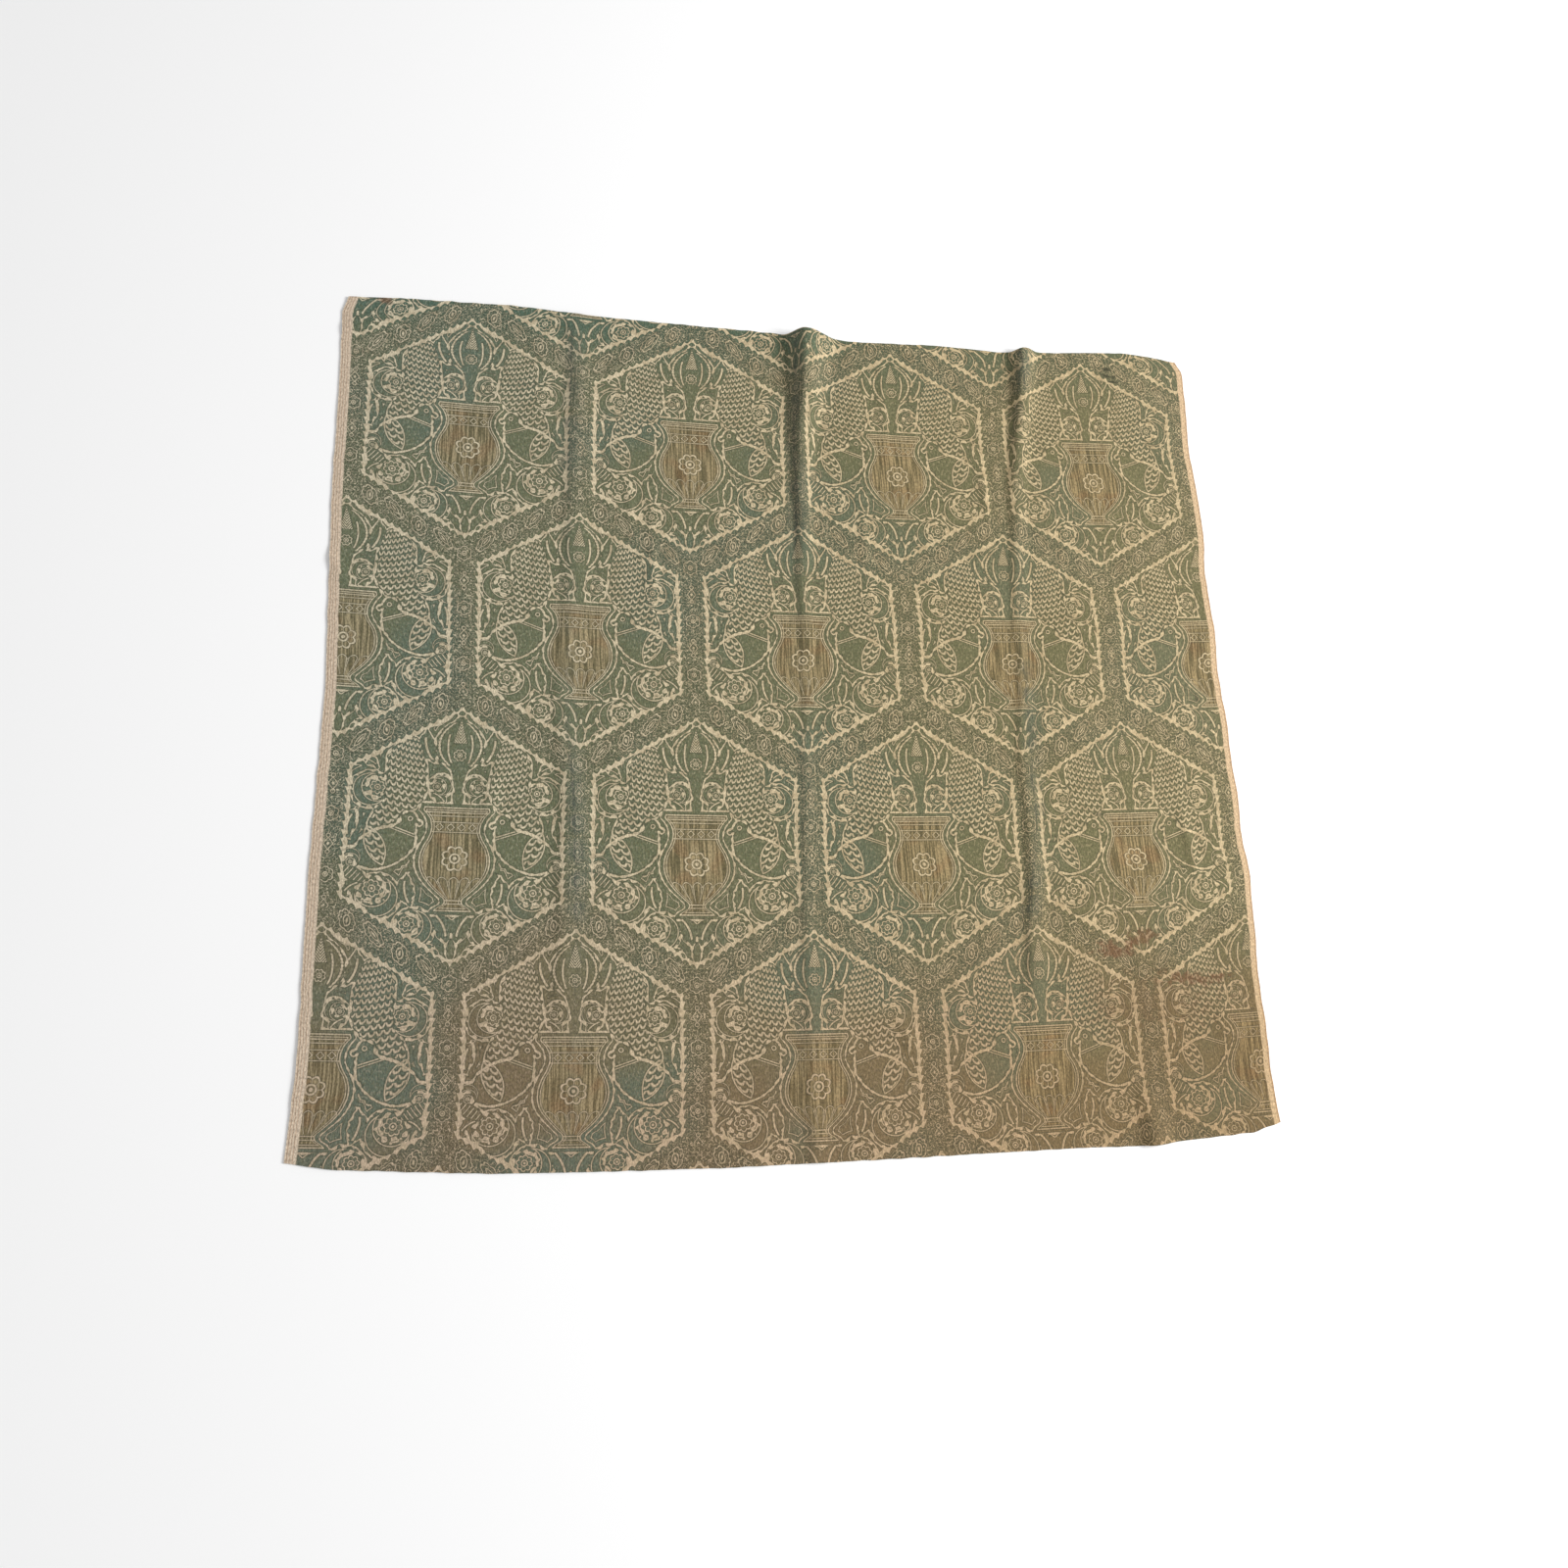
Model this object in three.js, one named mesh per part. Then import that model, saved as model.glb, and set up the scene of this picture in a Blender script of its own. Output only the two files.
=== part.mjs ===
// Damask furnishing panel, woven in one length and laid out flat on a floor.
// Millimetres, +Z up. X runs across the cloth from selvedge to selvedge, and Y runs along the warp.
// The origin is on the floor, under the middle of the panel.

import * as THREE from "three";
import { mergeVertices } from "three/addons/utils/BufferGeometryUtils.js";

// Driving dimensions
const repeatWidth = 310; // one pattern repeat across
const repeatsAcross = 4; // from selvedge to selvedge
const clothThickness = 1.5;
const fineColumn = 10; // spacing of the columns inside a crease
const openColumn = 56; // spacing of the columns on the flat cloth
const rowSpacing = 46;

// The cut top end, read across the cloth
const topEnd = [
  { across: -631, along: 597 },
  { across: -560, along: 601 },
  { across: -405, along: 603 },
  { across: -300, along: 596 },
  { across: -60, along: 591 },
  { across: 110, along: 586 },
  { across: 240, along: 590 },
  { across: 330, along: 587 },
  { across: 460, along: 596 },
  { across: 535, along: 602 },
  { across: 595, along: 597 },
  { across: 624, along: 592 },
];

// The cut bottom end, which bows outwards along its middle
const bottomEnd = [
  { across: -650, along: -576 },
  { across: -595, along: -586 },
  { across: -410, along: -598 },
  { across: -290, along: -601 },
  { across: -120, along: -603 },
  { across: 85, along: -601 },
  { across: 352, along: -597 },
  { across: 460, along: -598 },
  { across: 495, along: -594 },
  { across: 610, along: -586 },
  { across: 650, along: -574 },
];

// The two selvedges, from the top end down: they draw in at the corner, then flare towards the bottom
const leftSelvedge = [
  { down: 0, across: -631 },
  { down: 0.02, across: -638 },
  { down: 0.13, across: -637 },
  { down: 0.25, across: -639 },
  { down: 0.49, across: -633 },
  { down: 0.6, across: -637 },
  { down: 0.7, across: -641 },
  { down: 0.9, across: -642 },
  { down: 1, across: -650 },
];
const rightSelvedge = [
  { down: 0, across: 624 },
  { down: 0.015, across: 633 },
  { down: 0.1, across: 631 },
  { down: 0.27, across: 636 },
  { down: 0.43, across: 636 },
  { down: 0.6, across: 643 },
  { down: 0.72, across: 646 },
  { down: 0.8, across: 642 },
  { down: 0.93, across: 645 },
  { down: 1, across: 650 },
];

// Soft ridges left by folding the cloth in quarters. Each row is a section at a share of the way down:
// where the crest lies, how far its foot reaches to either side, and how high it stands off the floor.
const middleCrease = [
  { down: 0, crest: 22, reach: 50, height: 25 },
  { down: 0.1, crest: 15, reach: 45, height: 20 },
  { down: 0.2, crest: 8, reach: 40, height: 13 },
  { down: 0.32, crest: 7, reach: 34, height: 8 },
  { down: 0.5, crest: 5, reach: 30, height: 4.5 },
  { down: 0.62, crest: 4, reach: 30, height: 3.5 },
  { down: 0.78, crest: 1, reach: 32, height: 5.5 },
  { down: 1, crest: -5, reach: 32, height: 5 },
];
const rightCrease = [
  { down: 0, crest: 366, reach: 30, height: 15 },
  { down: 0.1, crest: 352, reach: 30, height: 10 },
  { down: 0.2, crest: 336, reach: 34, height: 6.5 },
  { down: 0.32, crest: 328, reach: 32, height: 6 },
  { down: 0.54, crest: 318, reach: 28, height: 4 },
  { down: 0.7, crest: 318, reach: 32, height: 6 },
  { down: 0.8, crest: 306, reach: 32, height: 3.5 },
  { down: 0.88, crest: 302, reach: 30, height: 0 },
];
const leftCrease = [
  { down: 0, crest: -318, reach: 30, height: 1 },
  { down: 0.08, crest: -310, reach: 34, height: 4.5 },
  { down: 0.2, crest: -316, reach: 36, height: 4 },
  { down: 0.35, crest: -318, reach: 32, height: 3 },
  { down: 0.5, crest: -334, reach: 28, height: 2 },
  { down: 0.62, crest: -318, reach: 36, height: 4.5 },
  { down: 0.75, crest: -324, reach: 30, height: 3 },
  { down: 0.95, crest: -328, reach: 28, height: 0 },
];
// A short arch where the bottom end lifts clear of the floor
const liftedEnd = [
  { down: 0.92, crest: 452, reach: 30, height: 0 },
  { down: 0.96, crest: 455, reach: 32, height: 3.5 },
  { down: 1, crest: 459, reach: 36, height: 9 },
];
const creases = [middleCrease, rightCrease, leftCrease, liftedEnd];

// One column of a table, read at any place: straight between its rows
function columnOf(rows, place, column) {
  const places = rows.map((row) => row[place]);
  const values = rows.map((row) => row[column]);
  const line = new THREE.LinearInterpolant(places, values, 1);
  return (at) => line.evaluate(at)[0];
}

// Height of one crease above the floor at a point of the cloth
function makeRidge(rows) {
  const crest = columnOf(rows, "down", "crest");
  const reach = columnOf(rows, "down", "reach");
  const height = columnOf(rows, "down", "height");
  const start = rows[0].down;
  const end = rows[rows.length - 1].down;
  return (across, down) => {
    const offset = (across - crest(down)) / reach(down);
    if (Math.abs(offset) >= 1 || down < start || down > end) {
      return 0;
    }
    return (height(down) * (1 + Math.cos(Math.PI * offset))) / 2;
  };
}

// Strip of the cloth that a crease wanders over
function stripOf(rows) {
  return {
    from: Math.min(...rows.map((row) => row.crest - row.reach)),
    to: Math.max(...rows.map((row) => row.crest + row.reach)),
  };
}

// Places of the columns as shares of the width: close together in the creases, wide apart elsewhere
function columnPlaces(width) {
  const strips = creases.map(stripOf);
  const places = [0];
  let across = -width / 2;
  while (across < width / 2 - openColumn) {
    const next = across + openColumn;
    const inCrease = strips.some((strip) => next > strip.from && across < strip.to);
    across += inCrease ? fineColumn : openColumn;
    places.push((across + width / 2) / width);
  }
  places.push(1);
  return places;
}

// One closed sheet: a thin box of columns and rows, bent onto the outline and the creases
function makePanel() {
  const width = repeatsAcross * repeatWidth;
  const length = topEnd[0].along - bottomEnd[0].along;
  const topAlong = columnOf(topEnd, "across", "along");
  const bottomAlong = columnOf(bottomEnd, "across", "along");
  const leftAcross = columnOf(leftSelvedge, "down", "across");
  const rightAcross = columnOf(rightSelvedge, "down", "across");
  const ridges = creases.map(makeRidge);

  const places = columnPlaces(width);
  const columns = places.length - 1;
  const rows = Math.round(length / rowSpacing);
  const sheet = new THREE.BoxGeometry(1, 1, 1, columns, rows, 1);
  sheet.deleteAttribute("normal");
  sheet.deleteAttribute("uv");
  const panel = mergeVertices(sheet);

  const point = panel.attributes.position;
  for (let i = 0; i < point.count; i += 1) {
    const share = places[Math.round((point.getX(i) + 0.5) * columns)];
    const down = 0.5 - point.getY(i);
    const across = THREE.MathUtils.lerp(leftAcross(down), rightAcross(down), share);
    const along = THREE.MathUtils.lerp(topAlong(across), bottomAlong(across), down);
    const lift = Math.max(...ridges.map((ridge) => ridge(across, down)));
    const side = point.getZ(i) > 0 ? clothThickness : 0;
    point.setXYZ(i, across, along, lift + side);
  }
  panel.computeVertexNormals();
  return panel;
}

const damaskCloth = new THREE.MeshStandardMaterial({ color: 0x7c7f62, roughness: 0.82, metalness: 0 });

const damaskPanel = new THREE.Mesh(makePanel(), damaskCloth);
damaskPanel.name = "damask_panel";

const panelGroup = new THREE.Group();
panelGroup.add(damaskPanel);

export default panelGroup;
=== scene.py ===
import itertools
import math

import bmesh
import bpy
from mathutils import Matrix, Vector, noise


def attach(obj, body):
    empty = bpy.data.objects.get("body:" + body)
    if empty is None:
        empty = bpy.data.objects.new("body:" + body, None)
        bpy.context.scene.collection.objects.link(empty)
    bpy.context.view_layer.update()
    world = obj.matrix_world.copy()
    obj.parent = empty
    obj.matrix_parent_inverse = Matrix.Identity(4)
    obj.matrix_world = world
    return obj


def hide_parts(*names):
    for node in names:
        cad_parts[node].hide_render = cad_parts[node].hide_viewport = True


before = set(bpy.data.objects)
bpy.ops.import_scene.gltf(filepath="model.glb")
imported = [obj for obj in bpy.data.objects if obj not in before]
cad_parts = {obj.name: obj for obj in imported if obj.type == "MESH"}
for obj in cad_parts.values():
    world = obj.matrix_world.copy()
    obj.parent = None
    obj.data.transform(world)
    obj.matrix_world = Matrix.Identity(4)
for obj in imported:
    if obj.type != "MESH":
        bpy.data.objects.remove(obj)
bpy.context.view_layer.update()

cadNode = "damask_panel"

# The cloth as it lies: its size, creases and small waves, and the place of its pattern
cloth = {
    "flatSize": (1.28, 1.19),  # cut size, before it was laid out
    "loomWidth": 1.27,
    "thickness": 0.0013,
    "columns": 300,
    "rows": 150,
    "waveHeight": 0.0018,  # soft waves over the whole cloth
    "waveSize": 0.10,
    "steepReach": 0.64,  # how far a crease reaches on its steep left side, as a share of its reach
    "gentleReach": 1.15,  # the same on its right side
    "creaseWander": 0.0035,
    "edgeWander": 0.0011,  # unevenness of the cut ends and the selvedges
    "rightWave": 0.006,  # soft waves of the slack right selvedge
    "repeat": 0.310,  # one repeat of the pattern across
    "repeats": 4.11,  # repeats from selvedge to selvedge
    "leftRepeat": -0.565,  # the left selvedge, in repeats from the middle of the first whole compartment
    "rowPitch": 0.2908,  # one half-dropped row of the pattern along
    "firstRow": 0.566,  # the upper tips of the first row, from the middle of the cloth
    "rowBow": 0.005,  # the rows lie this much lower in the middle of the cloth
    "rowRise": 0.015,  # and rise by this much at two repeats from it
}

# The outline: cut ends as (across, along), selvedges as (share of the way down, across)
topEnd = [
    (-0.631, 0.597), (-0.560, 0.601), (-0.405, 0.603), (-0.300, 0.596), (-0.060, 0.591), (0.110, 0.586),
    (0.240, 0.590), (0.330, 0.587), (0.460, 0.596), (0.535, 0.602), (0.595, 0.597), (0.624, 0.592),
]
bottomEnd = [
    (-0.650, -0.576), (-0.595, -0.586), (-0.410, -0.598), (-0.290, -0.601), (-0.120, -0.603),
    (0.085, -0.601), (0.352, -0.597), (0.460, -0.598), (0.495, -0.594), (0.610, -0.586), (0.650, -0.574),
]
leftSelvedge = [
    (0.0, -0.631), (0.02, -0.638), (0.13, -0.637), (0.25, -0.639), (0.49, -0.633), (0.60, -0.637),
    (0.70, -0.641), (0.90, -0.642), (1.0, -0.650),
]
rightSelvedge = [
    (0.0, 0.624), (0.015, 0.633), (0.10, 0.631), (0.27, 0.636), (0.43, 0.636), (0.60, 0.643),
    (0.72, 0.646), (0.80, 0.642), (0.93, 0.645), (1.0, 0.650),
]

# Soft ridges left by folding: (share of the way down, ridge top across, reach to either side, height)
lengthCreases = {
    "middle": [
        (0.0, 0.022, 0.050, 0.025), (0.06, 0.018, 0.040, 0.020), (0.12, 0.013, 0.030, 0.013),
        (0.20, 0.008, 0.023, 0.0068), (0.32, 0.007, 0.020, 0.0034), (0.46, 0.005, 0.018, 0.0016),
        (0.56, 0.002, 0.018, 0.0018), (0.76, -0.004, 0.020, 0.0018), (1.0, -0.005, 0.026, 0.003),
    ],
    "right": [
        (0.0, 0.366, 0.030, 0.015), (0.10, 0.352, 0.026, 0.0095), (0.20, 0.336, 0.024, 0.0050),
        (0.32, 0.328, 0.022, 0.0030), (0.54, 0.318, 0.020, 0.0030), (0.70, 0.318, 0.026, 0.0050),
        (0.80, 0.306, 0.028, 0.0035), (0.88, 0.302, 0.030, 0.0),
    ],
    "left": [
        (0.0, -0.318, 0.030, 0.001), (0.08, -0.310, 0.034, 0.0045), (0.20, -0.316, 0.036, 0.004),
        (0.35, -0.318, 0.032, 0.003), (0.50, -0.334, 0.028, 0.002), (0.62, -0.318, 0.036, 0.0045),
        (0.75, -0.324, 0.030, 0.003), (0.95, -0.328, 0.028, 0.0),
    ],
    "liftedEnd": [(0.92, 0.452, 0.030, 0.0), (0.96, 0.455, 0.032, 0.0035), (1.0, 0.459, 0.036, 0.009)],
}

# Faint straight folds and wrinkles: start, end, reach, height
wrinkles = [
    ((0.020, -0.012), (0.305, -0.020), 0.009, 0.0042),
    ((-0.640, 0.545), (-0.530, 0.585), 0.014, 0.0035),
    ((-0.270, 0.500), (-0.175, 0.590), 0.013, 0.0029),
    ((-0.425, 0.470), (-0.420, 0.340), 0.015, 0.0026),
    ((-0.415, -0.090), (-0.430, -0.220), 0.017, 0.0029),
    ((-0.205, 0.300), (-0.207, 0.120), 0.010, 0.0021),
    ((-0.100, 0.240), (-0.095, 0.110), 0.010, 0.0019),
    ((0.470, 0.260), (0.600, 0.200), 0.017, 0.0029),
    ((0.500, 0.400), (0.560, 0.330), 0.015, 0.0024),
    ((0.450, -0.355), (0.630, -0.372), 0.015, 0.0032),
    ((0.140, 0.560), (0.142, 0.350), 0.010, 0.0016),
    ((-0.560, -0.330), (-0.380, -0.345), 0.017, 0.0022),
    ((-0.427, -0.412), (-0.399, -0.467), 0.012, 0.0026),
    ((0.112, -0.423), (0.143, -0.475), 0.012, 0.0026),
    ((0.282, -0.472), (0.379, -0.458), 0.013, 0.0026),
    ((-0.180, -0.380), (-0.168, -0.442), 0.011, 0.0022),
    ((0.551, -0.140), (0.566, -0.240), 0.012, 0.0028),
    ((-0.325, -0.245), (-0.268, -0.258), 0.013, 0.0022),
    ((0.101, 0.311), (0.101, 0.204), 0.011, 0.0018),
    ((0.287, 0.402), (0.291, 0.290), 0.011, 0.0020),
    ((-0.241, 0.353), (-0.233, 0.233), 0.011, 0.0018),
    ((-0.646, 0.213), (-0.605, 0.159), 0.014, 0.0024),
]


def lineAt(rows, at, column=1):
    # the value of a column at a place, straight between the rows
    for before, after in zip(rows, rows[1:]):
        if at <= after[0]:
            share = max(0.0, (at - before[0]) / (after[0] - before[0]))
            return before[column] + (after[column] - before[column]) * share
    return rows[-1][column]


def ridgeHeight(across, down):
    # steep on the left of each ridge and gentle on the right
    height = 0.0
    for number, rows in enumerate(lengthCreases.values()):
        if rows[0][0] <= down <= rows[-1][0]:
            offset = across - lineAt(rows, down)
            offset += cloth["creaseWander"] * noise.noise((down * 16, number * 7.0, 0.5))
            offset /= lineAt(rows, down, 2) * cloth["steepReach" if offset < 0 else "gentleReach"]
            if abs(offset) < 1.0:
                height = max(height, lineAt(rows, down, 3) * (1.0 + math.cos(math.pi * offset)) / 2)
    return height


def wrinkleHeight(across, along):
    # every wrinkle fades out towards its ends
    height = 0.0
    for start, end, reach, peak in wrinkles:
        run = Vector(end) - Vector(start)
        step = Vector((across, along)) - Vector(start)
        share = min(1.0, max(0.0, step.dot(run) / run.length_squared))
        offset = (step - run * share).length / reach
        if offset < 1.0:
            fade = math.sin(math.pi * min(1.0, 0.12 + share * 0.88))
            height += peak * fade * (1.0 + math.cos(math.pi * offset)) / 2
    return height


def nearEdge(share):
    # 1 at either edge of the cloth and 0 from a twelfth of the way in
    return 1 - min(1.0, 12 * min(share, 1 - share))


def clothPoint(share, down):
    # a point of the lying cloth, from its shares of the way across and down
    across = lineAt(leftSelvedge, down) * (1 - share) + lineAt(rightSelvedge, down) * share
    along = lineAt(topEnd, across) * (1 - down) + lineAt(bottomEnd, across) * down
    along += cloth["edgeWander"] * noise.noise((across * 60, 3.0, down * 2)) * nearEdge(down)
    across += cloth["edgeWander"] * noise.noise((along * 45, 7.0, share * 2)) * nearEdge(share)
    waveX = across / cloth["waveSize"]
    waveY = along / cloth["waveSize"]
    wave = noise.noise((waveX, waveY * 0.6, 1.7)) + 0.5 * noise.noise((waveX * 2.3, waveY * 1.1, 5.1))
    lift = max(0.0, wave) * cloth["waveHeight"]
    # the slack begins a sixteenth of the width from the right selvedge, and below the top end
    slack = max(0.0, share * 16 - 15) * min(1.0, down * 4) * cloth["rightWave"]
    across += slack * noise.noise((along * 13, 2.0, 0.5))
    lift += slack * max(0.0, noise.noise((along * 11, 9.0, 0.5)))
    return Vector((across, along, ridgeHeight(across, down) + wrinkleHeight(across, along) + lift))


class Val:
    # One value in a material. Sums on it add Math nodes; plain numbers are worked out in Python.
    tree = None

    def __init__(self, socket):
        self.socket = socket

    @staticmethod
    def add(kind, settings, inputs, out=0):
        # any other node: its settings first, then its inputs by number or name
        node = Val.tree.nodes.new(kind if kind.startswith("NodeGroup") else "ShaderNode" + kind)
        for name, value in settings.items():
            setattr(node, name, value)
        for key, value in inputs.items():
            if isinstance(value, Val):
                Val.tree.links.new(value.socket, node.inputs[key])
            else:
                node.inputs[key].default_value = value
        return Val(node.outputs[out]) if node.outputs else None

    def others(self):
        # every output of this value's node
        return [Val(socket) for socket in self.socket.node.outputs]

    def math(self, operation, *others):
        return Val.add("Math", {"operation": operation}, dict(enumerate((self, *others))))

    def __add__(self, other):
        return self.math("ADD", other)

    def __sub__(self, other):
        return self.math("SUBTRACT", other)

    def __rsub__(self, other):
        return Val.add("Math", {"operation": "SUBTRACT"}, {0: other, 1: self})

    def __mul__(self, other):
        return self.math("MULTIPLY", other)

    def __truediv__(self, other):
        return self.math("DIVIDE", other)

    def __rtruediv__(self, other):
        return Val.add("Math", {"operation": "DIVIDE"}, {0: other, 1: self})

    def __abs__(self):
        return self.math("ABSOLUTE")

    def __lt__(self, other):
        return self.math("LESS_THAN", other)

    def __gt__(self, other):
        return self.math("GREATER_THAN", other)

    __radd__ = __add__
    __rmul__ = __mul__


def inGroup(build, *inputs):
    # the nodes of build in a node group of their own, made once and placed where it is called
    tree = bpy.data.node_groups.get(build.__name__)
    if tree is None:
        tree = bpy.data.node_groups.new(build.__name__, "ShaderNodeTree")
        for number in range(len(inputs)):
            tree.interface.new_socket(f"in{number}", in_out="INPUT", socket_type="NodeSocketFloat")
        outer, Val.tree = Val.tree, tree
        results = build(*Val.add("NodeGroupInput", {}, {}).others()[: len(inputs)])
        for number in range(len(results)):
            tree.interface.new_socket(f"out{number}", in_out="OUTPUT", socket_type="NodeSocketFloat")
        Val.add("NodeGroupOutput", {}, dict(enumerate(results)))
        Val.tree = outer
        print("node group", build.__name__, "has", len(tree.nodes), "nodes")
    return Val.add("Group", {"node_tree": tree}, dict(enumerate(inputs))).others()


def lowest(*values):
    result = values[0]
    for value in values[1:]:
        result = result.math("MINIMUM", value) if isinstance(result, Val) else value.math("MINIMUM", result)
    return result


def highest(*values):
    result = values[0]
    for value in values[1:]:
        result = result.math("MAXIMUM", value) if isinstance(result, Val) else value.math("MAXIMUM", result)
    return result


def choose(factor, first, second):
    # first where the factor is 0, second where it is 1
    return Val.add("Mix", {"data_type": "FLOAT"}, {0: factor, 2: first, 3: second})


def paint(under, over, factor):
    return Val.add("Mix", {"data_type": "RGBA"}, {0: factor, 6: under, 7: over}, 2)


def fade(value, start, end):
    # 0 at start and 1 at end, smooth between
    settings = {"interpolation_type": "SMOOTHSTEP"}
    return Val.add("MapRange", settings, {"Value": value, "From Min": start, "From Max": end})


def pair(x, y):
    return Val.add("CombineXYZ", {}, {0: x, 1: y})


def far(point, x=0.0, y=0.0, z=0.0):
    return Val.add("VectorMath", {"operation": "DISTANCE"}, {0: point, 1: (x, y, z)}, "Value")


def moved(point, x, y, turn=0.0, sizeX=1.0, sizeY=1.0, z=0.0):
    # the point in a moved, turned and scaled frame; a z given here becomes its third part
    inputs = {"Vector": point, "Location": (x, y, -z), "Rotation": (0.0, 0.0, turn)}
    return Val.add("Mapping", {"vector_type": "TEXTURE"}, inputs | {"Scale": (sizeX, sizeY, 1.0)})


def split(point, parts=2):
    return Val.add("SeparateXYZ", {}, {0: point}).others()[:parts]


def profile(value, points):
    # a smooth curve through the points
    out = Val.add("FloatCurve", {}, {"Value": value})
    mapping = out.socket.node.mapping
    mapping.extend = "HORIZONTAL"
    row = mapping.curves[0].points
    row[0].location, row[-1].location = points[0], points[-1]
    for place in points[1:-1]:
        row.new(*place)
    mapping.update()
    return out


def grain(point, scale, detail=1.0, rough=0.5):
    inputs = {"Vector": point, "Scale": scale, "Detail": detail, "Roughness": rough}
    return Val.add("TexNoise", {"noise_dimensions": "2D"}, inputs)


def line(distance, halfWidth):
    # how far outside a line that is drawn where the distance is 0
    return abs(distance) - halfWidth


def sawtooth(value, pitch):
    # 1 to 0 and back over each pitch
    return abs((value * (1 / pitch)).math("FRACT") * 2 - 1)


def petals(x, y, count):
    # 0 to 1 and back, count times in a turn about the middle
    return abs((y.math("ARCTAN2", x) * (count / 2)).math("SINE"))


# The pattern, measured in repeats: compartments of a hexagon lattice, half dropped, between slanted
# and upright bands. Each compartment is folded to one half: x from its middle line, y downwards from
# just below its upper tip.
rowDrop = 0.94
rimSlope = 0.604
shoulder = 0.447  # half the width between the upright rims
apex = -0.022  # the upper tip of the rim
tip = 1.075  # its lower tip
bandHalf = 0.0725
cellTop = apex - bandHalf + rimSlope * 0.5
bandFoot = tip + bandHalf
sprigStart = 0.093
sprigPitch = 0.1053
uprightPitch = 0.1276
vaseTop = 0.418
vaseFoot = 0.850
fanTop = 0.118
fanFoot = 0.56

# crescent leaves about a flower: x, y, size, turn in degrees, 1 or -1 to mirror it
curls = [
    (0.352, 0.352, 0.080, 200, 1), (0.300, 0.800, 0.096, -60, 1), (0.150, 0.925, 0.084, -30, -1),
    (0.411, 0.645, 0.046, 100, 1), (0.068, 0.322, 0.048, 20, -1),
]
# single leaves: foot x and y, tip x and y, and the side to which they bend
leaves = [
    (0.100, 0.225, 0.140, 0.085, 1), (0.050, 0.400, 0.118, 0.352, -1), (0.075, 0.860, 0.020, 0.985, 1),
    (0.425, 0.560, 0.405, 0.440, 1), (0.045, 1.040, 0.110, 0.985, 1), (0.365, 0.745, 0.432, 0.800, -1),
    (0.165, 0.835, 0.185, 0.705, 1), (0.385, 0.225, 0.330, 0.255, 1),
]


def foldToCell(u, v):
    # x and y in the half compartment, then the way along a slanted band and the way across it
    row = ((v - cellTop) / rowDrop).math("FLOOR")
    y = v - row * rowDrop
    u = u - (row * 0.5).math("FRACT")
    x = abs(u - u.math("ROUND"))
    bandY = y + x * rimSlope - bandFoot
    below = bandY > 0.0
    return choose(below, x, 0.5 - x), y - below * rowDrop, 0.5 - x, bandY


def nearest(items, point):
    # the point in the frame of the nearest item, with that item's size as its third part
    chosen, outside = None, None
    for x, y, turn, size, flip in items:
        here = moved(point, x, y, turn, size, size * flip, size)
        away = far(here, 0.0, 0.0, size).math("MULTIPLY_ADD", size, -size)
        if chosen is None:
            chosen, outside = here, away
            continue
        chosen = Val.add("Mix", {"data_type": "VECTOR"}, {0: away < outside, 4: chosen, 5: here}, 1)
        outside = lowest(outside, away)
    return split(chosen, 3)


def rosette(point):
    # eight petals in a radius of about 1
    x, y = split(point)
    radius = far(point)
    lobe = petals(x, y, 8)
    ink = lowest(line(radius - 0.72 - lobe * 0.2, 0.07), line(radius - 0.34, 0.06), radius - 0.14)
    return lowest(ink, highest(lobe * radius - 0.055, radius - 0.75, 0.42 - radius))


def oval(x, y, half, length):
    # a pointed oval, upright, from its half width and half length
    bow = (length * length - half * half) / (2 * half)
    return far(pair(abs(x), y), -bow) - (bow + half)


def bar(point, startX, startY, endX, endY, radius):
    # a thick line from point to point
    length = math.hypot(endX - startX, endY - startY)
    turn = math.atan2(endY - startY, endX - startX)
    x, y = split(moved(point, (startX + endX) / 2, (startY + endY) / 2, turn))
    return far(pair(highest(abs(x) - length / 2, 0.0), y)) - radius


def sprigs(along, across):
    # leaf sprigs, upright and lying in turn, along the slanted bands
    count = highest(lowest(((along - sprigStart) * (1 / sprigPitch)).math("ROUND"), 3.0), 0.0)
    odd = (count * 0.5).math("FRACT") * 2
    fromX = along - sprigStart - count * sprigPitch
    fromY = across + odd * 0.012 - 0.002
    upright, lying = math.radians(12), math.radians(128)
    cosine = choose(odd, math.cos(upright), math.cos(lying))
    sine = choose(odd, math.sin(upright), math.sin(lying))
    x = fromX * cosine + fromY * sine
    y = fromY * cosine - fromX * sine
    leaf = oval(x, y + x * x * 6, 0.0125, 0.026)
    halo = line(far(pair(x, y * 0.72)) - 0.0275 - petals(x, y, 8) * 0.005, 0.0018)
    stalk = highest(abs(x) - 0.0015, abs(y + 0.034) - 0.014)
    return lowest(line(leaf, 0.0018), leaf + 0.0085, halo, stalk)


def uprightBand(x, y):
    # flowers and lozenges in turn up the upright bands
    place = (y - cellTop) * (1 / uprightPitch)
    count = place.math("ROUND")
    odd = (count * 0.5).math("FRACT") * 2
    upY = (place - count) * uprightPitch
    upX = 0.5 - x
    radius = far(pair(upX, upY))
    outer = line(radius - 0.026 - petals(upX, upY, 6) * 0.006, 0.0018)
    flower = lowest(line(radius - 0.009, 0.002), outer, radius - 0.004)
    lozenge = abs(upX) * 1.35 + abs(upY)
    beads = line(far(pair(upX, abs(upY)), 0.0, 0.034) - 0.008, 0.0016)
    ink = choose(odd, flower, lowest(line(lozenge - 0.026, 0.0026), lozenge - 0.0085, beads))
    return highest(ink, 0.455 - x, cellTop - 0.03 - y, y - 0.87)


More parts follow.
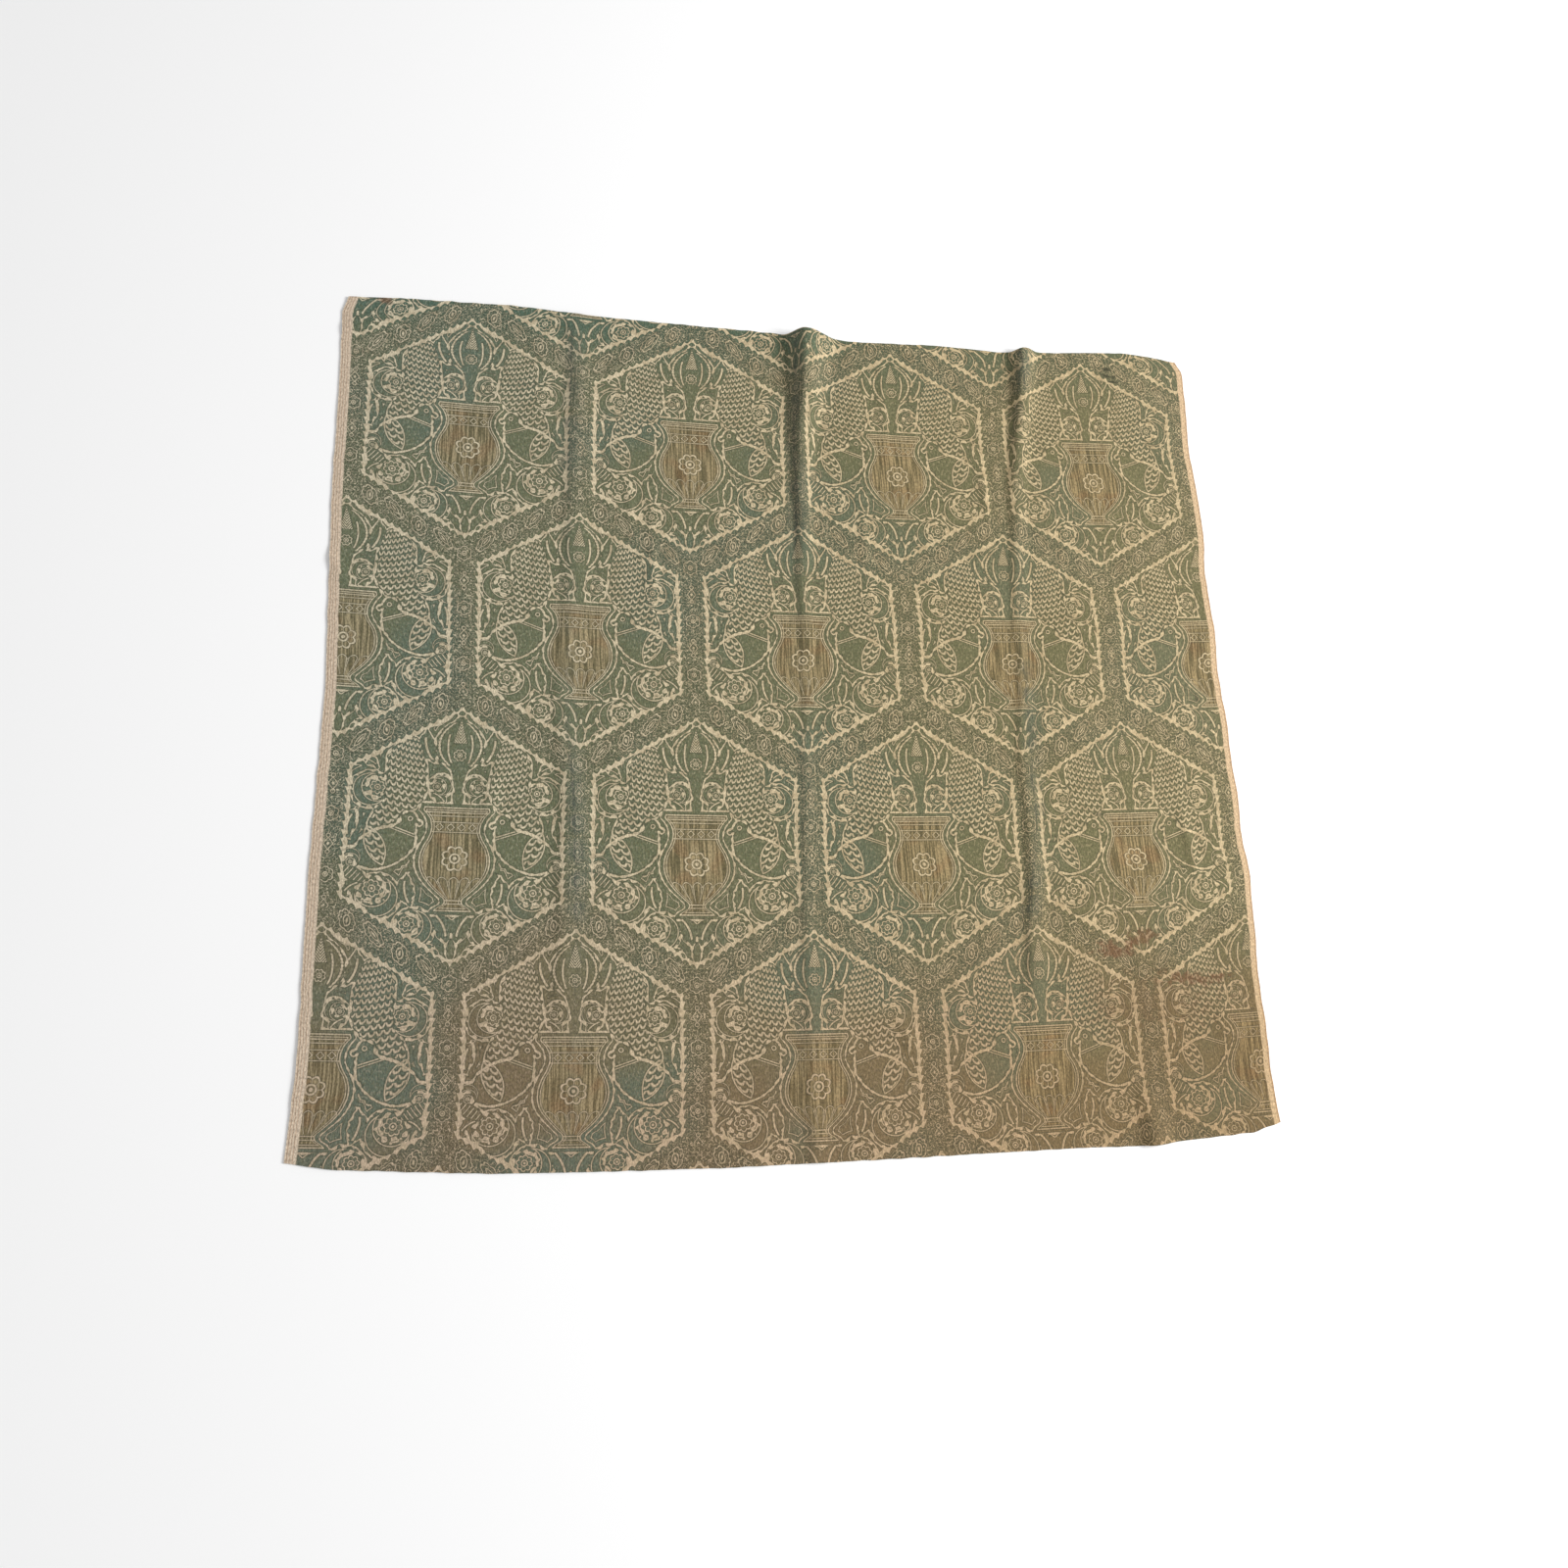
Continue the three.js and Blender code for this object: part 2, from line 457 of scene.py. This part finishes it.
def meetingFlower(x, y):
    # a flower where three bands meet
    radius = far(pair(x, y), 0.0, bandFoot)
    outer = line(radius - 0.028 - petals(x, y - bandFoot, 6) * 0.007, 0.0018)
    return lowest(line(radius - 0.011, 0.002), radius - 0.004, outer)


def bandInk(x, y, along, across):
    return [lowest(sprigs(along, across), uprightBand(x, y), meetingFlower(x, y))]


def cellEdge(x, y):
    # how far inside the rim
    steep = math.hypot(1.0, rimSlope)
    sides = lowest((y - apex - x * rimSlope) / steep, (tip - y - x * rimSlope) / steep)
    return lowest(shoulder - x, sides)


def palmette(x, y):
    # a beaded palmette on a stalk, with a flower in its middle
    side = profile(y, [
        (0.0, 0.0), (0.03, 0.018), (0.06, 0.056), (0.10, 0.088), (0.145, 0.100), (0.19, 0.090),
        (0.23, 0.062), (0.262, 0.030), (0.30, 0.022), (0.36, 0.020), (1.0, 0.020),
    ])
    shape = highest(x - side, 0.018 - y, y - 0.40)
    beads = abs((y * (2 * math.pi / 0.028)).math("SINE")) * 0.003 + 0.0022
    ink = highest(abs(x - side + 0.014) - beads, 0.045 - y, y - 0.235)
    ink = lowest(ink, highest(line(x - side * 0.5, 0.0034), abs(y - 0.160) - 0.062))
    sprout = line(sawtooth(y + x * 1.3, 0.026) - 0.5, 0.25) * 0.013
    ink = lowest(ink, highest(sprout, x - (y - 0.03) * 0.26, y - 0.135))
    point = pair(x, y)
    ink = lowest(ink, rosette(moved(point, 0.0, 0.188, 0.0, 0.027, 0.027)) * 0.027)
    shape = lowest(shape, far(point, 0.0, 0.004) - 0.011)
    return shape, highest(ink, shape)


def curlLeaves(x, y):
    # a crescent leaf about each flower
    items = [(x, y, math.radians(turn), size, flip) for x, y, size, turn, flip in curls]
    curlX, curlY, size = nearest(items, pair(x, y))
    point = pair(curlX, curlY)
    crescent = highest(far(point) - 0.96, 0.64 - far(point, 0.34))
    flower = rosette(moved(point, 0.38, 0.0, 0.0, 0.40, 0.40)) * 0.40
    ink = lowest(highest(line(crescent + 0.11, 0.022), crescent), flower) * size
    shape = lowest(crescent, far(point, 0.38) - 0.47) * size
    return shape, highest(ink, shape + 0.004)


def singleLeaves(x, y):
    # bent leaves with a line along their middle
    items = []
    for footX, footY, tipX, tipY, flip in leaves:
        half = math.hypot(tipX - footX, tipY - footY) / 2
        turn = math.atan2(tipY - footY, tipX - footX)
        items.append(((footX + tipX) / 2, (footY + tipY) / 2, turn, half, flip))
    x, y, size = nearest(items, pair(x, y))
    y = y - (1.0 - x * x) * 0.25
    half = (highest(lowest(x, 1.0), -1.0) * (math.pi / 2)).math("COSINE") * 0.52
    shape = highest(abs(y) - half, abs(x) - 1.0) * size
    vein = highest(line(y, 0.06), abs(x + 0.1) - 0.7) * size
    return shape, highest(vein, shape)


def bird(x, y):
    # perched, with its head to the vase
    point = pair(x, y)
    body = (far(moved(point, 0.288, 0.600, math.radians(24), 0.116, 0.076)) - 1.0) * 0.076
    body = body.math("SMOOTH_MIN", bar(point, 0.205, 0.560, 0.192, 0.487, 0.027), 0.07)
    body = lowest(body, far(point, 0.189, 0.474) - 0.029)
    shape = lowest(body, bar(point, 0.166, 0.478, 0.147, 0.489, 0.0062))
    collar = y - 0.534 + (x - 0.17) * 0.35
    ink = highest(lowest(line(collar, 0.0024), line(collar - 0.0105, 0.0018)), body)
    ink = lowest(ink, line(far(point, 0.186, 0.470) - 0.0085, 0.0020))
    wingX, wingY = split(moved(point, 0.318, 0.590, math.radians(24)))
    wing = oval(wingX, wingY + wingX * wingX * 1.5, 0.037, 0.088)
    ink = lowest(ink, line(wing, 0.0024), highest(inGroup(feathers, x, y)[0], wing + 0.004))
    tailX, tailY = split(moved(point, 0.375, 0.672, math.radians(60)))
    tailY = tailY + tailX * tailX * 1.6
    tail = oval(tailX - 0.045, tailY, 0.028, 0.078)
    lines = highest((abs((tailY * (1 / 0.017)).math("FRACT") - 0.5) - 0.12) * 0.017, tail + 0.006)
    return lowest(shape, tail), body, lowest(ink, lines)


def feathers(x, y):
    # feathers spread from a point, in rows with round ends, half shifted from row to row
    x = x - 0.12
    y = y + 0.15
    place = far(pair(x, y)) * (1 / 0.0265)
    count = place.math("FLOOR")
    down = place - count
    column = (x.math("ARCTAN2", y) * 18.5 + count * 0.5 + down * down * 0.22).math("FRACT") - 0.5
    loop = line(far(pair(column, down * 0.5)) - 0.42, 0.088)
    return [highest(loop, 0.24 - down) * 0.0255]


def raisedFan(x, y):
    # the field of feathers beside the palmette, between its two sides
    left = profile(y, [
        (0.0, 0.22), (0.10, 0.20), (0.13, 0.165), (0.18, 0.145), (0.24, 0.137), (0.30, 0.130),
        (0.36, 0.132), (0.40, 0.150), (0.44, 0.180), (0.48, 0.205), (0.52, 0.235), (0.56, 0.27),
        (1.0, 0.27),
    ])
    right = profile(y, [
        (0.0, 0.19), (0.10, 0.20), (0.13, 0.232), (0.16, 0.262), (0.19, 0.287), (0.24, 0.292),
        (0.30, 0.290), (0.36, 0.296), (0.42, 0.318), (0.48, 0.345), (0.52, 0.345), (0.56, 0.30),
        (1.0, 0.30),
    ])
    return [highest(left - x, x - right, fanTop - y, y - fanFoot)]


def vase(x, y):
    # lip, lozenge band, one rosette, gadroons and foot
    side = profile(y, [
        (0.0, 0.128), (0.415, 0.128), (0.43, 0.132), (0.445, 0.120), (0.47, 0.104), (0.51, 0.096),
        (0.545, 0.105), (0.59, 0.128), (0.64, 0.139), (0.69, 0.130), (0.74, 0.098), (0.785, 0.054),
        (0.805, 0.034), (0.82, 0.034), (0.84, 0.060), (0.853, 0.072), (1.0, 0.072),
    ])
    shape = highest(x - side, vaseTop - y, y - vaseFoot)
    ink = lowest(line(shape - 0.001, 0.0024), line(shape + 0.0095, 0.0016))
    lip = lowest(line(y - 0.437, 0.0020), line(y - 0.452, 0.0016))
    foot = lowest(line(y - 0.808, 0.0020), line(y - 0.822, 0.0016))
    waist = abs(y - 0.500)
    across = abs((x * (1 / 0.044)).math("FRACT") - 0.5) * 0.040
    lozenges = lowest(line(across + waist * 0.9 - 0.0135, 0.0019), line(waist - 0.021, 0.0015))
    gadroon = (x / highest(side, 0.02) * 2.5 + 0.5).math("FRACT") - 0.5
    arch = 0.715 - y + gadroon * gadroon * 0.08
    ribs = line(abs(gadroon) * 0.04 - 0.016 - (y - 0.735) * 0.05, 0.0014)
    ribs = highest(ribs, shape + 0.006, arch, y - 0.80)
    inside = highest(lowest(lip, foot, lozenges, line(arch - 0.003, 0.0016)), shape)
    flower = rosette(moved(pair(x, y), 0.0, 0.632, 0.0, 0.056, 0.056)) * 0.056
    return shape, lowest(ink, inside, ribs, flower)


def lobedEdge(x, y):
    # makes the outlines of leaves lobed and uneven
    lobes = abs((x * 92.0 + y * 38.0).math("SINE")) + abs((y * 88.0 - x * 41.0).math("SINE"))
    return lobes * 0.0042 - 0.0133 + grain(pair(x, y), 44.0) * 0.016


def pattern(u, v):
    # how far outside the pale ink, how far outside the brown vase, and how far inside the rim
    x, y, along, across = inGroup(foldToCell, u, v)
    edge = cellEdge(x, y)
    pale = highest(inGroup(bandInk, x, y, along, across)[0], edge + 0.010)
    run = x * 1.17 + highest(lowest(y, 0.805), 0.25)
    scallop = abs((run * (math.pi / 0.0365)).math("SINE")) * 0.0125
    wave = (run * (2 * math.pi / 0.151)).math("SINE") * 0.0045
    lobes = lobedEdge(x, y)
    palmetteShape, ink = inGroup(palmette, x, y)
    curlShape, curlInk = inGroup(curlLeaves, x, y)
    leafShape, leafInk = inGroup(singleLeaves, x, y)
    figure = lowest(lowest(curlShape, leafShape) + lobes, palmetteShape + lobes * 0.5)
    ink = lowest(ink, curlInk, leafInk)
    birdShape, body, birdInk = inGroup(bird, x, y)
    fan = highest(inGroup(raisedFan, x, y)[0] + lobes * 0.6, 0.013 - body)
    figure = lowest(figure, birdShape, fan, oval(x, y - 1.010, 0.016, 0.045))
    ink = lowest(ink, birdInk, highest(inGroup(feathers, x, y)[0], fan + 0.005))
    vaseShape, vaseInk = inGroup(vase, x, y)
    figure = lowest(figure, vaseShape - 0.016)
    # a pale seam about every figure, and a thin echo of it further out
    ink = lowest(ink, line(figure - 0.0052, 0.0038 + lobes * 0.6), line(figure - 0.030 - lobes, 0.0016))
    ink = lowest(highest(ink, 0.0175 - vaseShape), vaseInk)
    rim = highest(scallop - 0.007 - edge, edge - 0.0165 - wave - lobes)
    pale = lowest(pale, highest(ink, scallop - 0.004 - edge), rim)
    return pale, highest(vaseShape, 0.02 - edge), edge


# Colours as 0 to 255, among them painted crease shade and painted side light, and how strong each kind of
# wear is
finish = {
    "green": (99, 104, 78),
    "greenTop": (72, 96, 80),
    "greenLow": (116, 99, 74),
    "teal": (86, 102, 88),
    "olive": (126, 114, 78),
    "pale": (209, 193, 162),
    "paleLow": (190, 166, 138),
    "paleWorn": (168, 150, 118),
    "brown": (100, 92, 64),
    "brownLight": (160, 144, 110),
    "rust": (132, 90, 56),
    "coolSide": (244, 249, 255),
    "warmSide": (250, 241, 222),
    "warmCorner": (238, 227, 202),
    "dark": (66, 68, 50),
    "selvedge": (206, 184, 158),
    "selvedgeLine": (150, 112, 84),
    "stain": (110, 72, 48),
    "foldGrey": (90, 101, 90),
    "foldLine": (52, 58, 56),
    "threadStreaks": 0.62,
    "bump": 0.8,
    "reverseFade": 0.45,  # how much weaker the pattern is on the back
}

# Worn folds with painted crease shade: repeats from the left, the line's place down the cloth, its strength
# down the cloth
wornAndShadedFolds = [
    (
        1.0,
        [
            (0.0, 0.50), (0.12, 0.495), (0.24, 0.49), (0.33, 0.49), (0.50, 0.476), (0.62, 0.462),
            (0.72, 0.44), (1.0, 0.43),
        ],
        [
            (0.0, 0.65), (0.20, 0.7), (0.26, 0.35), (0.34, 0.15), (0.46, 0.1), (0.52, 0.2), (0.70, 0.2),
            (1.0, 0.0),
        ],
    ),
    (
        2.0,
        [
            (0.0, 0.68), (0.05, 0.63), (0.10, 0.605), (0.30, 0.57), (0.52, 0.54), (0.60, 0.53),
            (0.67, 0.47), (1.0, 0.47),
        ],
        [
            (0.0, 0.8), (0.05, 0.6), (0.08, 0.3), (0.14, 0.15), (0.38, 0.25), (0.42, 0.6), (0.56, 0.5),
            (0.61, 0.3), (0.66, 0.8), (0.71, 0.2), (1.0, 0.0),
        ],
    ),
    (
        0.0,
        [(0.0, 0.446), (0.10, 0.446), (0.30, 0.45), (0.50, 0.45), (0.56, 0.48), (1.0, 0.47)],
        [
            (0.0, 0.45), (0.10, 0.6), (0.17, 0.4), (0.24, 0.2), (0.48, 0.3), (0.55, 0.7), (0.63, 0.7),
            (0.70, 0.1),
        ],
    ),
]

# Marks: colour, middle, turn in degrees, reach, strength
stainPlaces = [
    ("stain", (2.86, 2.915), 4.0, (0.12, 0.050), 0.60),
    ("stain", (3.00, 2.865), -10.0, (0.10, 0.045), 0.52),
    ("stain", (3.23, 3.067), 4.0, (0.19, 0.035), 0.55),
    ("stain", (3.02, 3.15), 0.0, (0.42, 0.16), 0.20),
    ("dark", (3.120, -0.004), 8.0, (0.055, 0.013), 1.0),
    ("dark", (3.146, 0.039), 8.0, (0.050, 0.012), 1.0),
    ("dark", (3.162, 0.071), 8.0, (0.045, 0.010), 1.0),
    ("dark", (3.41, 1.74), 70.0, (0.040, 0.014), 0.7),
    ("dark", (2.85, 2.30), 0.0, (0.035, 0.020), 0.6),
    ("stain", (-0.402, -0.075), 30.0, (0.05, 0.03), 0.6),
]


def tone(name):
    # a colour of the finish as linear light
    linear = [((part / 255 + 0.055) / 1.055) ** 2.4 for part in finish[name]]
    return (*linear, 1.0)


def stretched(place, across, along):
    # a place scaled apart across and along, for grain in the shape of threads
    return Val.add("Mapping", {}, {"Vector": place, "Scale": (across, along, 1.0)})


def selvedges(colour, u, v):
    # plain woven borders with a few stripes
    left = u - cloth["leftRepeat"]
    right = cloth["leftRepeat"] + cloth["repeats"] - u
    stripes = lowest(line(left - 0.008, 0.0018), line(left - 0.019, 0.0014), line(left - 0.030, 0.0014))
    colour = paint(colour, tone("selvedge"), fade(left, 0.047, 0.041))
    colour = paint(colour, tone("selvedgeLine"), fade(stripes, 0.001, -0.001) * 0.6)
    colour = paint(colour, tone("selvedge"), fade(right, 0.033, 0.028))
    return paint(colour, tone("selvedgeLine"), fade(line(right - 0.004, 0.004), 0.002, -0.002) * 0.5)


def stains(colour, place):
    # uneven blotches and broken threads
    ragged = (grain(place, 24.0, 2.0, 0.7) - 0.5) * 2.2
    for name, centre, turn, reach, strength in stainPlaces:
        away = far(moved(place, *centre, math.radians(turn), *reach)) + ragged
        colour = paint(colour, tone(name), fade(away, 1.0, 0.2) * strength)
    return colour


def foldWearAndShade(colour, u, v, puckers):
    # grey-green bands, small crinkles and thin dark lines where the cloth was folded: partly wear along the
    # folds, partly painted shade of the creases and their crinkles
    down = v * 0.25  # 1 at four repeats below the upper tips of the first row
    uneven = grain(pair(u * 4.0, v * 16.0), 1.0, 2.0)
    for start, places, strengths in wornAndShadedFolds:
        offset = u - start - profile(down, places) + (uneven - 0.5) * 0.03
        strength = profile(down, strengths) * fade(uneven, 0.15, 0.65)
        band = fade(abs(offset - 0.01), 0.075, 0.0) * strength
        # painted crease shade with some wear: a grey band beside each crease, dark crinkles in it and a
        # thin dark line along it
        colour = paint(colour, tone("foldGrey"), band * 0.60)
        colour = paint(colour, tone("foldLine"), band * fade(puckers, 0.50, 0.66) * 0.6)
        colour = paint(colour, tone("foldLine"), fade(abs(offset), 0.011, 0.0) * strength * 0.65)
    return colour


def groundColour(place, u, v, low, mottle):
    # green, with teal and olive parts, bluer at the top end and browner at the bottom
    ground = paint(tone("green"), tone("greenLow"), low)
    ground = paint(ground, tone("greenTop"), fade(v, 0.25, -0.12))
    ground = paint(ground, tone("teal"), fade(grain(place, 1.5, 2.0), 0.45, 0.68) * 0.7)
    return paint(ground, tone("olive"), highest(fade(mottle, 0.50, 0.72) * 0.28, fade(u, 0.8, 3.2) * 0.30))


def vaseColour(place, low, puckers):
    # the puckered warp of the vases
    brown = paint(tone("brown"), tone("brownLight"), fade(puckers, 0.38, 0.66))
    return paint(brown, tone("rust"), fade(grain(place, 9.0), 0.50, 0.75) * 0.25 + low * 0.16)


def sideLight(colour, u, low):
    # cooler to the left, warmer to the right and at the lower right corner
    side = paint(tone("coolSide"), tone("warmSide"), fade(u, -0.8, 2.8))
    side = paint(side, tone("warmCorner"), low * fade(u, 2.0, 3.2))
    settings = {"data_type": "RGBA", "blend_type": "MULTIPLY"}
    return Val.add("Mix", settings, {0: 1.0, 6: colour, 7: side}, 2)


def threadSurface(place, colour, paleAmount):
    # uneven threads, a fine rib and a little sheen
    streaks = grain(stretched(place, 150.0, 80.0), 1.0, 1.0, 0.8) - 0.5
    streaked = {"Value": streaks * (finish["threadStreaks"] * 2) + 1.0, "Color": colour}
    height = grain(stretched(place, 420.0, 60.0), 1.0, 1.0)
    bump = Val.add("Bump", {}, {"Strength": finish["bump"], "Distance": 0.0006, "Height": height})
    surface = {"Base Color": Val.add("HueSaturation", {}, streaked), "Normal": bump}
    surface |= {"Roughness": 0.8 - paleAmount * 0.14, "Specular IOR Level": 0.25}
    surface |= {"Sheen Weight": 0.12, "Sheen Roughness": 0.5}
    Val.add("OutputMaterial", {}, {"Surface": Val.add("BsdfPrincipled", {}, surface)})


def damaskMaterial(name, reverse=False):
    material = bpy.data.materials.new(name)
    material.use_nodes = True
    Val.tree = material.node_tree
    Val.tree.nodes.clear()
    place = Val.add("UVMap", {"uv_map": "Cloth"}, {})
    u, v = split(place)
    pale, vaseEdge, edge = inGroup(pattern, u, v)
    inBand = fade(edge, -0.004, -0.010)
    low = fade(v + grain(place, 2.0) * 0.8, 2.8, 4.0)
    mottle = grain(stretched(place, 105.0, 60.0), 1.0, 1.0)
    puckers = grain(stretched(place, 130.0, 5.0), 1.0, 1.0)
    ink = paint(tone("pale"), tone("paleLow"), low)
    ground = paint(groundColour(place, u, v, low, mottle), ink, fade(mottle, 0.46, 0.30) * 0.20)
    ink = paint(ink, tone("paleWorn"), fade(grain(place, 16.0, 2.0, 0.7), 0.42, 0.68) * 0.55)
    ground = paint(ground, vaseColour(place, low, puckers), fade(vaseEdge, 0.0, -0.004))
    # fine curling lines between the motifs of the bands
    worm = fade(abs(grain(place, 70.0) - 0.5), 0.046, 0.016) * inBand
    ground = paint(paint(ground, tone("dark"), inBand * 0.42), ink, worm * 0.74)
    # a dark outline about the pale parts: painted shade where the raised pale figure stands from the ground
    ground = paint(ground, tone("dark"), fade(pale, 0.0062, 0.0015) * 0.58)
    paleAmount = fade(pale, 0.0017, -0.0017) * (0.94 - inBand * 0.04 - fade(u, 0.8, 3.2) * 0.10)
    if reverse:
        colour = paint(ink, ground, paleAmount * finish["reverseFade"] + 0.4)
    else:
        colour = paint(ground, ink, paleAmount)
    # selvedges, stains, then wear and painted shade along the creases
    colour = foldWearAndShade(stains(selvedges(colour, u, v), place), u, v, puckers)
    threadSurface(place, sideLight(colour, u, low), paleAmount)
    print(name, "has", len(Val.tree.nodes), "nodes")
    return material


def addObject(name, data):
    made = bpy.data.objects.new(name, data)
    bpy.context.scene.collection.objects.link(made)
    return made


# Where the columns of the mesh lie closer together, for the creases: middle, reach, how much closer
fineColumns = [(0.0, 0.055, 2.2), (0.33, 0.05, 1.5), (-0.32, 0.05, 1.0)]


def columnShares():
    gaps = []
    for column in range(cloth["columns"]):
        across = (column / cloth["columns"] - 0.5) * cloth["loomWidth"]
        closer = sum(much * math.exp(-(((across - at) / reach) ** 2)) for at, reach, much in fineColumns)
        gaps.append(1.0 / (1.0 + closer))
    places = list(itertools.accumulate([0.0] + gaps))
    return [place / places[-1] for place in places]


def clothRows(columns):
    # points of every row, and how far along the cloth each lies from the left selvedge
    rows = []
    for row in range(cloth["rows"] + 1):
        points = [clothPoint(share, row / cloth["rows"]) for share in columns]
        steps = [0.0] + [(after - before).length for before, after in zip(points, points[1:])]
        lengths = list(itertools.accumulate(steps))
        rows.append((points, [length / lengths[-1] for length in lengths]))
    return rows


def patternPlace(point, length):
    # the point's place in the pattern; its rows bow a little across the cloth
    bow = cloth["rowBow"] - cloth["rowRise"] * (point.x / cloth["repeat"] / 2) ** 2
    row = (cloth["firstRow"] - point.y - bow) / cloth["rowPitch"]
    return length * cloth["repeats"] + cloth["leftRepeat"], row * rowDrop


def bakeSpot(normal, share, down, isAbove):
    # face, back and the four thin sides each have a field of their own
    lift = 0.01 * isAbove
    if normal.z > 0.5:
        return 0.006 + share * 0.988, 0.994 - down * 0.84
    if normal.z < -0.5:
        return 0.006 + share * 0.47, 0.142 - down * 0.13
    if abs(normal.x) > 0.5:
        return 0.5 + down * 0.49, (0.10 if share < 0.5 else 0.13) + lift
    return 0.5 + share * 0.49, (0.02 if down < 0.5 else 0.06) + lift


def clothSheet():
    # a flat grid with a back and sides, then bent to the shape in which the cloth lies
    columns = columnShares()
    rows = clothRows(columns)
    print("cloth laid out")
    bm = bmesh.new()
    bmesh.ops.create_grid(bm, x_segments=cloth["columns"], y_segments=cloth["rows"], size=0.5)
    bmesh.ops.solidify(bm, geom=bm.faces[:], thickness=cloth["thickness"])
    bm.normal_update()
    above = {vert for face in bm.faces if face.normal.z > 0.5 for vert in face.verts}
    shares, places = {}, {}
    for vert in bm.verts:
        column = round((vert.co.x + 0.5) * cloth["columns"])
        down = 0.5 - vert.co.y
        points, lengths = rows[round(down * cloth["rows"])]
        shares[vert] = columns[column], down, vert in above
        places[vert] = patternPlace(points[column], lengths[column])
        vert.co = points[column] + Vector((0, 0, cloth["thickness"])) * (vert in above)
    clothMap = bm.loops.layers.uv.new("Cloth")
    bakeMap = bm.loops.layers.uv.new("OFBake")
    for face in bm.faces:
        # the normals are still those of the flat grid
        face.smooth = abs(face.normal.z) > 0.5
        face.material_index = 1 if face.normal.z < -0.5 else 0
        for loop in face.loops:
            loop[clothMap].uv = places[loop.vert]
            loop[bakeMap].uv = bakeSpot(face.normal, *shares[loop.vert])
    for edge in bm.edges:
        edge.smooth = all(face.smooth for face in edge.link_faces)
    mesh = bpy.data.meshes.new("damaskCloth")
    bm.to_mesh(mesh)
    bm.free()
    return mesh


def makeCloth():
    mesh = clothSheet()
    made = addObject("damaskCloth", mesh)
    mesh.materials.append(damaskMaterial("damaskFace"))
    mesh.materials.append(damaskMaterial("damaskReverse", reverse=True))
    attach(made, "root")
    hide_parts(cadNode)


def plainMaterial(name, colour, roughness):
    material = bpy.data.materials.new(name)
    material.use_nodes = True
    shader = material.node_tree.nodes["Principled BSDF"]
    shader.inputs["Base Color"].default_value = (*colour, 1.0)
    shader.inputs["Roughness"].default_value = roughness
    return material


def makeFloor():
    # large, pale, and a hair below the cloth
    bm = bmesh.new()
    bmesh.ops.create_grid(bm, x_segments=1, y_segments=1, size=12)
    mesh = bpy.data.meshes.new("floor")
    bm.to_mesh(mesh)
    bm.free()
    mesh.materials.append(plainMaterial("paleFloor", (0.92, 0.92, 0.92), 0.9))
    floor = addObject("floor", mesh)
    floor.location.z = -0.0004


# Soft studio light: a large lamp low to the right of the cloth, and an even sky
light = {"lampPlace": (4.2, -0.1, 2.6), "lampSize": 2.2, "lampPower": 290.0, "sky": 0.58}

# The camera stands over the front left of the cloth, a little turned, as the picture was taken
view = {
    "lens": 29.262,
    "sensorWidth": 36.0,
    "place": (-0.3430, -0.5161, 1.6627),
    "right": (0.98356, -0.03198, 0.17770),
    "up": (-0.01157, 0.97101, 0.23877),
}


def aim(place, target):
    return (Vector(target) - Vector(place)).to_track_quat("-Z", "Y").to_matrix().to_4x4()


def makeLight():
    lamp = bpy.data.lights.new("keyLamp", "AREA")
    lamp.shape = "DISK"
    lamp.size = light["lampSize"]
    lamp.energy = light["lampPower"]
    lampObject = addObject("keyLamp", lamp)
    lampObject.matrix_world = Matrix.Translation(light["lampPlace"]) @ aim(light["lampPlace"], (0, 0, 0))
    world = bpy.data.worlds.new("studio")
    world.use_nodes = True
    sky = world.node_tree.nodes["Background"].inputs
    sky["Color"].default_value = (1.0, 1.0, 1.0, 1.0)
    sky["Strength"].default_value = light["sky"]
    bpy.context.scene.world = world
    bpy.context.scene.view_settings.view_transform = "Standard"


def makeCamera():
    data = bpy.data.cameras.new("camera")
    data.lens = view["lens"]
    data.sensor_width = view["sensorWidth"]
    data.clip_start = 0.05
    camera = addObject("camera", data)
    right, up = Vector(view["right"]), Vector(view["up"])
    turn = Matrix((right, up, right.cross(up))).transposed().to_4x4()
    camera.matrix_world = Matrix.Translation(view["place"]) @ turn
    bpy.context.scene.camera = camera


makeCloth()
print("cloth made")
makeFloor()
makeLight()
makeCamera()
print("stage, light and camera made")
